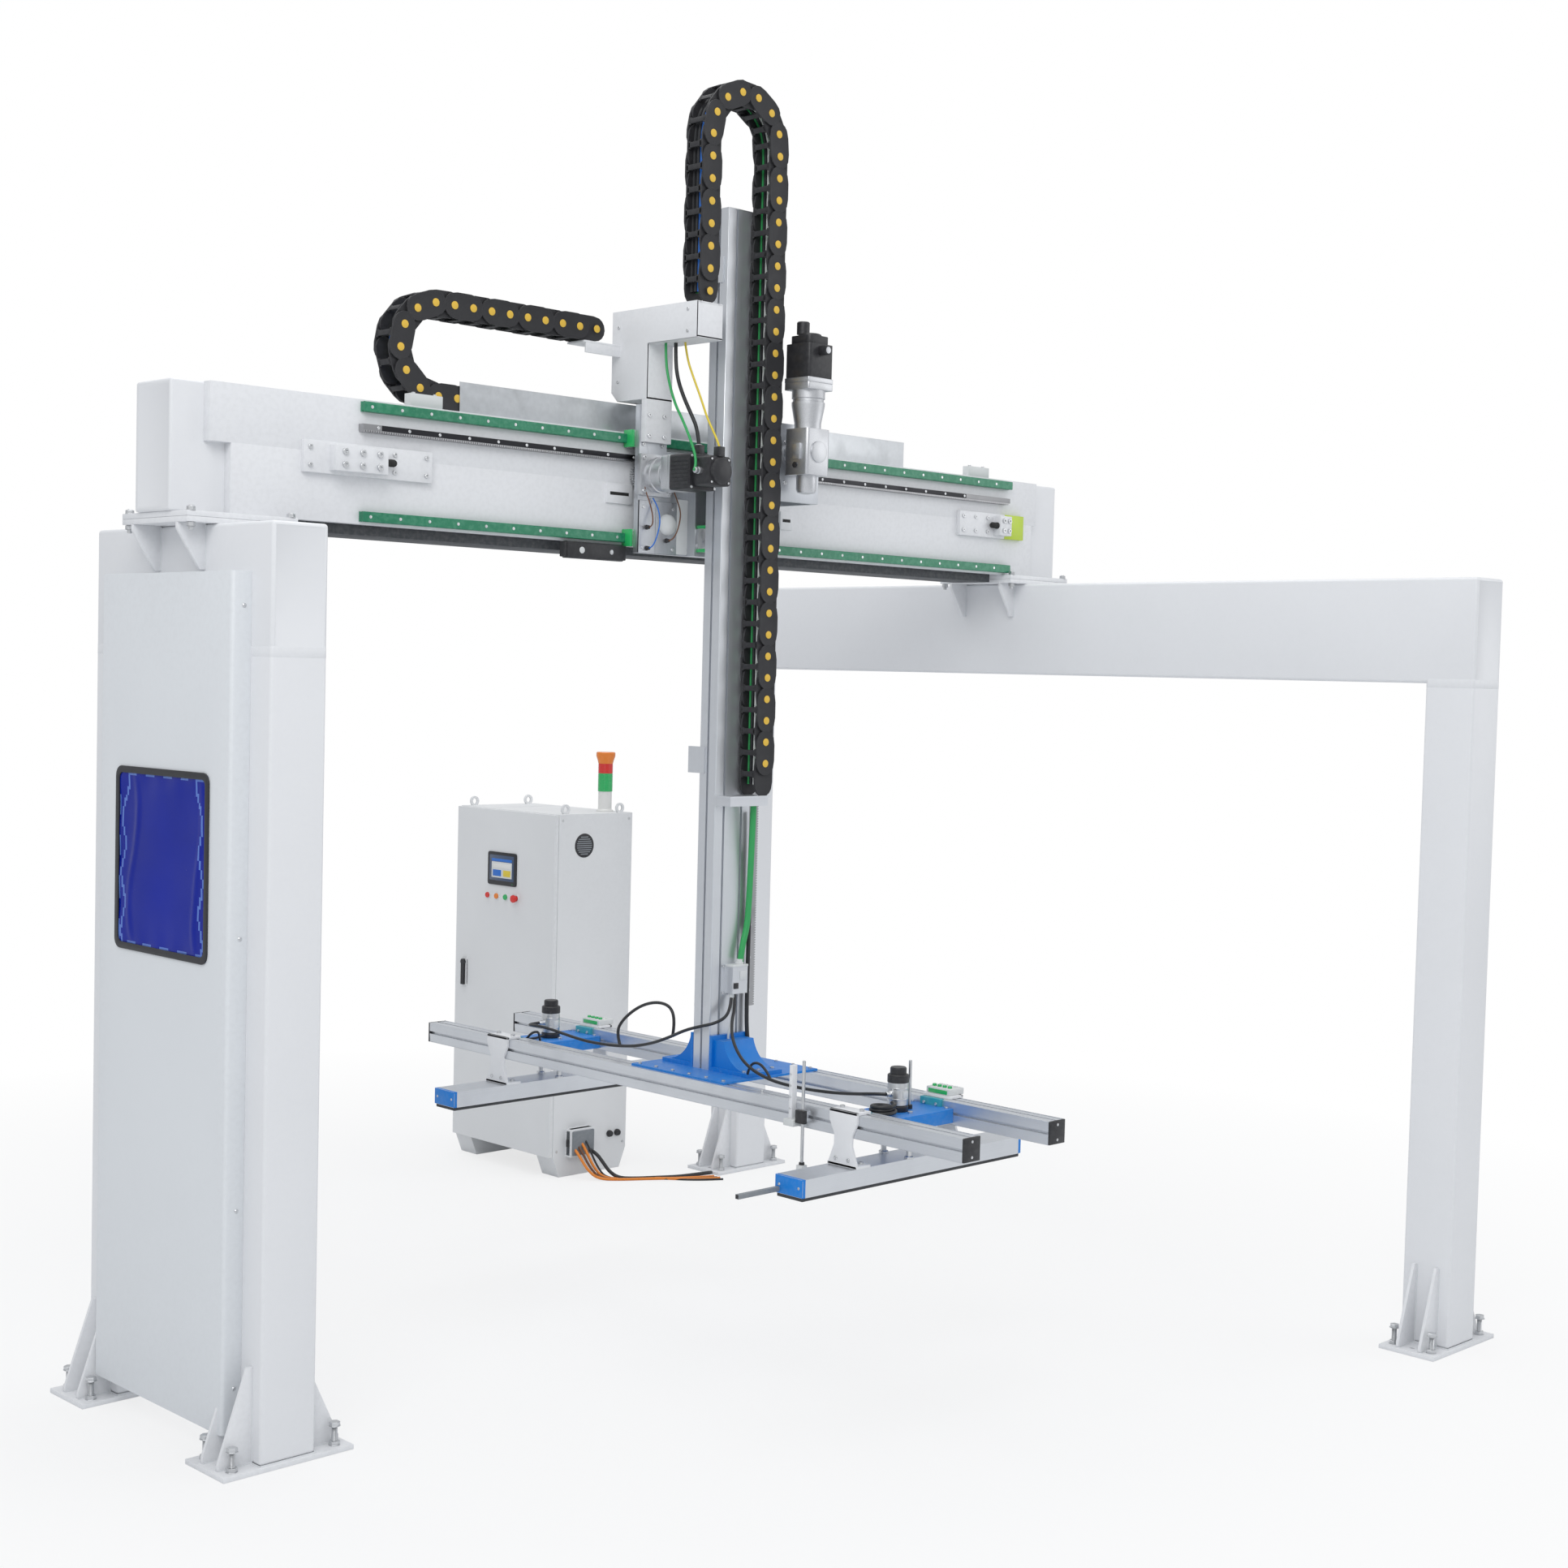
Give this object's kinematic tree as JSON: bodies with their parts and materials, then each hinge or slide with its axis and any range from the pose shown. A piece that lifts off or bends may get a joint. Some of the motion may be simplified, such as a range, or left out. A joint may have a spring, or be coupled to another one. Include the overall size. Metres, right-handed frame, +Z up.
{
  "type": "gantry loader",
  "caption": "Gantry loader: two portals carry a rail beam, a driven carriage, a vertical column and a two-rail gripper with foam suction bars; a control cabinet stands behind.",
  "frame": {"origin": "bottom centre of the machine's outer box, on the floor", "axes": "+X along the beam from the covered portal to the wide portal, +Y across the beam towards the cabinet, +Z up"},
  "size_m": [4.49, 5.188, 4.6575],
  "materials": {
    "white_paint": "satin powder coat",
    "beam_paint": "satin powder coat",
    "zinc_bolt": "zinc plated",
    "window_pane": "glossy film in a black frame",
    "film_rail": "ground steel under a green protective film",
    "rack_steel": "milled steel",
    "stop_steel": "painted steel with a rubber buffer",
    "chain_plastic": "moulded plastic with pale pins",
    "cabinet_paint": "fine textured powder coat",
    "tower_plastic": "coloured lamp lenses on a white tube",
    "cable_rubber": "rubber sheath",
    "screen": "dark screen in a grey bezel",
    "black_metal": "black satin paint",
    "green_plastic": "moulded cap",
    "orange_plastic": "moulded cap",
    "red_plastic": "moulded cap",
    "plate_grey": "grey plate",
    "gear_silver": "turned metal",
    "anodised": "natural anodised profile",
    "blue_paint": "bright blue powder coat",
    "foam": "closed cell foam",
    "hose_black": "pneumatic hose"
  },
  "bodies": {
    "frame": {"left_near_leg": "white_paint", "left_far_leg": "white_paint", "left_crossbeam": "white_paint", "right_near_leg": "white_paint", "right_far_leg": "white_paint", "right_crossbeam": "white_paint", "portal_feet": "white_paint", "frame_bolts": "zinc_bolt", "side_cover": "white_paint", "window_panel": "window_pane", "main_beam": "beam_paint", "beam_seats": "white_paint", "x_rails": "film_rail", "x_rack": "rack_steel", "cable_tray": "white_paint", "end_stops": "stop_steel", "x_chain_fixed_run": "chain_plastic", "cabinet_body": "cabinet_paint", "signal_tower": "tower_plastic", "floor_cable": "cable_rubber"},
    "door": {"cabinet_door": "cabinet_paint", "hmi_panel": "screen"},
    "handle": {"door_handle": "black_metal"},
    "start": {"start_button": "green_plastic"},
    "reset": {"reset_button": "orange_plastic"},
    "stop": {"stop_button": "red_plastic"},
    "emergency": {"emergency_button": "red_plastic"},
    "x_loop": {"x_chain_loop": "chain_plastic"},
    "x_middle": {"x_chain_middle_run": "chain_plastic"},
    "carriage": {"carriage_plate": "plate_grey", "guide_blocks": "black_metal", "carriage_bracket": "white_paint", "x_gearbox": "gear_silver", "x_motor": "black_metal", "z_gearbox": "gear_silver", "z_motor": "black_metal", "lubricator": "black_metal", "motor_cable": "cable_rubber", "x_chain_carriage_run": "chain_plastic", "z_chain_carriage_run": "chain_plastic"},
    "x_wheel": {"x_pinion": "rack_steel"},
    "z_wheel": {"z_pinion": "rack_steel"},
    "z_middle": {"z_chain_middle_run": "chain_plastic"},
    "z_loop": {"z_chain_loop": "chain_plastic"},
    "arm": {"column": "anodised", "z_rails_and_rack": "film_rail", "foot_bracket": "blue_paint", "gripper_rails": "anodised", "arm_cable": "cable_rubber", "z_chain_arm_run": "chain_plastic", "gripper_hose": "hose_black"},
    "left_bar": {"left_suction_bar": "anodised", "left_foam_pad": "foam", "left_bar_carrier": "white_paint", "left_vacuum_generator": "gear_silver"},
    "right_bar": {"right_suction_bar": "anodised", "right_foam_pad": "foam", "right_bar_carrier": "white_paint", "right_vacuum_generator": "gear_silver"},
    "rod": {"sensor_rod": "rack_steel"}
  },
  "joints": [
    {"name": "carriage_slide", "type": "slide", "parent": "frame", "child": "carriage", "axis": [1, 0, 0], "range_m": [-0.64, 0.96], "deforming": ["x_chain_carriage_run", "x_chain_fixed_run"]},
    {"name": "x_loop_slide", "type": "slide", "parent": "frame", "child": "x_loop", "axis": [1, 0, 0], "range_m": [-0.32, 0.48], "deforming": ["x_chain_loop"]},
    {"name": "x_middle_slide", "type": "slide", "parent": "frame", "child": "x_middle", "axis": [1, 0, 0], "range_m": [-0.48, 0.72], "deforming": ["x_chain_middle_run"]},
    {"name": "x_pinion_spin", "type": "hinge", "parent": "carriage", "child": "x_wheel", "pos_m": [-0.315, -0.382, 3.233], "axis": [0, 1, 0], "range_deg": [-1079, 720]},
    {"name": "arm_slide", "type": "slide", "parent": "carriage", "child": "arm", "axis": [0, 0, 1], "range_m": [-0.32, 1.28], "deforming": ["z_chain_arm_run", "z_chain_carriage_run"]},
    {"name": "z_loop_slide", "type": "slide", "parent": "carriage", "child": "z_loop", "axis": [0, 0, 1], "range_m": [-0.16, 0.64], "deforming": ["z_chain_loop"]},
    {"name": "z_middle_slide", "type": "slide", "parent": "carriage", "child": "z_middle", "axis": [0, 0, 1], "range_m": [-0.08, 0.32], "deforming": ["z_chain_middle_run"]},
    {"name": "z_pinion_spin", "type": "hinge", "parent": "carriage", "child": "z_wheel", "pos_m": [0.14, -0.619, 3.339], "axis": [0, 1, 0], "range_deg": [-360, 1439]},
    {"name": "left_bar_slide", "type": "slide", "parent": "arm", "child": "left_bar", "axis": [0, 1, 0], "range_m": [0, 0.3]},
    {"name": "right_bar_slide", "type": "slide", "parent": "arm", "child": "right_bar", "axis": [0, 1, 0], "range_m": [-0.35, 0.1]},
    {"name": "sensor_rod_slide", "type": "slide", "parent": "arm", "child": "rod", "axis": [0, 0, 1], "range_m": [-0.03, 0.1]},
    {"name": "door_hinge", "type": "hinge", "parent": "frame", "child": "door", "pos_m": [1.08975, 1.7955, 0.95], "axis": [0, 0, 1], "range_deg": [0, 110]},
    {"name": "handle_turn", "type": "hinge", "parent": "door", "child": "handle", "pos_m": [1.056, 2.511, 1.002], "axis": [1, 0, 0], "range_deg": [0, 90]},
    {"name": "start_press", "type": "slide", "parent": "door", "child": "start", "axis": [1, 0, 0], "range_m": [0, 0.004], "stiffness_N_per_m": 500, "springref_m": -0.002},
    {"name": "reset_press", "type": "slide", "parent": "door", "child": "reset", "axis": [1, 0, 0], "range_m": [0, 0.004], "stiffness_N_per_m": 500, "springref_m": -0.002},
    {"name": "stop_press", "type": "slide", "parent": "door", "child": "stop", "axis": [1, 0, 0], "range_m": [0, 0.004], "stiffness_N_per_m": 500, "springref_m": -0.002},
    {"name": "emergency_press", "type": "slide", "parent": "door", "child": "emergency", "axis": [1, 0, 0], "range_m": [0, 0.006]}
  ],
  "couplings": [
    {"joint": "x_loop_slide", "follows": "carriage_slide", "ratio": 0.5},
    {"joint": "x_middle_slide", "follows": "carriage_slide", "ratio": 0.75},
    {"joint": "x_pinion_spin", "follows": "carriage_slide", "rad_per_m": -19.608},
    {"joint": "z_loop_slide", "follows": "arm_slide", "ratio": 0.5},
    {"joint": "z_middle_slide", "follows": "arm_slide", "ratio": 0.25},
    {"joint": "z_pinion_spin", "follows": "arm_slide", "rad_per_m": 19.608}
  ]
}
